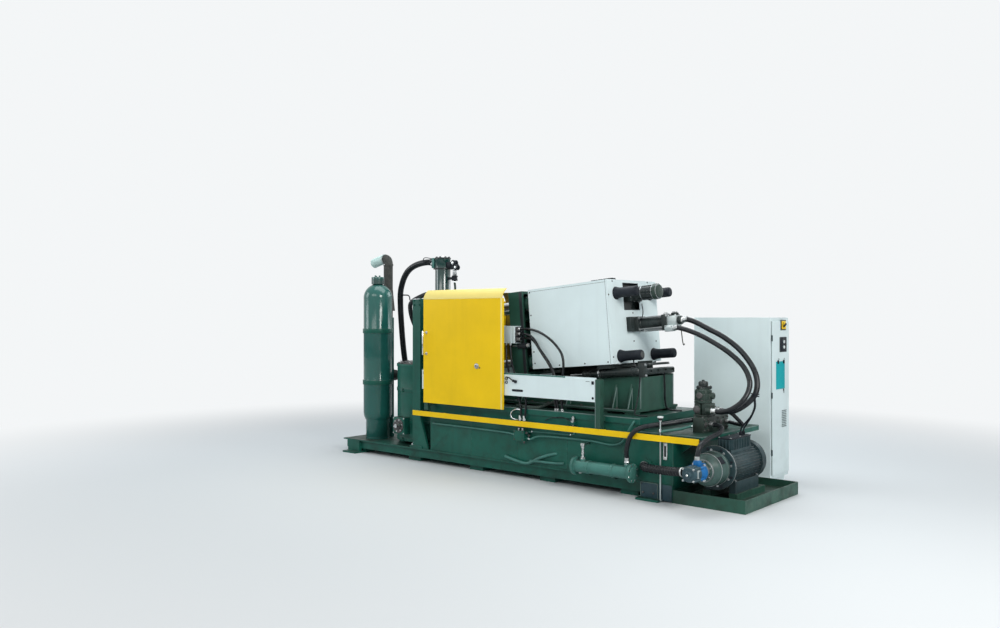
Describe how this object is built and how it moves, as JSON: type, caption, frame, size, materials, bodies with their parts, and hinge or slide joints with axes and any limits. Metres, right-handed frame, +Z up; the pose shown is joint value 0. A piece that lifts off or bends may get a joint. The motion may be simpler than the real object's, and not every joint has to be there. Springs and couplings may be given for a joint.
{
  "type": "die casting machine",
  "caption": "Hot-chamber die casting machine with a furnace end, inclined toggle clamp under a hood, sliding yellow guards, hydraulic tank base and a tall control cabinet.",
  "frame": {"origin": "on the floor, on the machine's centre plane, at the middle foot below the fixed platen", "axes": "+X along the machine towards the clamp end, -Y towards the operator side, +Z up"},
  "size_m": [5.556, 2.185, 2.535],
  "materials": {
    "bare_steel": "machined steel",
    "black_paint": "satin black",
    "black_plastic": "moulded black",
    "blue_paint": "blue enamel",
    "chrome": "polished",
    "cream_paint": "pale grey-cream sheet paint",
    "dark_iron": "bare casting",
    "gauge_white": "clear white",
    "green_paint": "dark green machine enamel, oily and worn",
    "hose_rubber": "black hose rubber",
    "light_green_paint": "grey-green enamel",
    "rusty_duct": "heat-browned sheet",
    "yellow_paint": "safety yellow enamel"
  },
  "bodies": {
    "machine": {"base_frame": "green_paint", "oil_tank": "green_paint", "motor_tray": "green_paint", "furnace": "green_paint", "melt_pot": "dark_iron", "gooseneck": "dark_iron", "shot_bridge": "green_paint", "shot_cylinder": "green_paint", "accumulator": "green_paint", "flue_stub": "rusty_duct", "clamp_bed": "green_paint", "slide_ways": "bare_steel", "fixed_platen": "green_paint", "moving_platen": "green_paint", "rear_platen": "green_paint", "tie_bars": "bare_steel", "tie_bar_caps": "black_paint", "toggle_lugs": "green_paint", "toggle_links": "dark_iron", "core_valve_box": "cream_paint", "clamp_hood": "cream_paint", "lubrication_block": "black_paint", "clamp_cylinder": "green_paint", "height_motor": "green_paint", "rail_beams": "cream_paint", "rail_posts": "light_green_paint", "front_rail": "yellow_paint", "valve_stack": "green_paint", "oil_cooler": "light_green_paint", "suction_hose": "hose_rubber", "pump": "blue_paint", "bell_housing": "light_green_paint", "pump_motor": "green_paint", "clamp_hoses": "hose_rubber", "valve_hoses": "hose_rubber", "shot_hoses": "hose_rubber", "platen_hoses": "hose_rubber", "level_gauge": "gauge_white", "front_fittings": "light_green_paint", "control_cabinet": "cream_paint", "cabinet_fittings": "black_plastic"},
    "front_guard": {"front_door": "yellow_paint", "front_handle": "chrome"},
    "rear_guard": {"rear_door": "yellow_paint", "rear_handle": "chrome"}
  },
  "joints": [
    {"name": "front_door_slide", "type": "slide", "parent": "machine", "child": "front_guard", "axis": [1, 0, 0], "range_m": [0, 1]},
    {"name": "rear_door_slide", "type": "slide", "parent": "machine", "child": "rear_guard", "axis": [1, 0, 0], "range_m": [0, 1]}
  ]
}
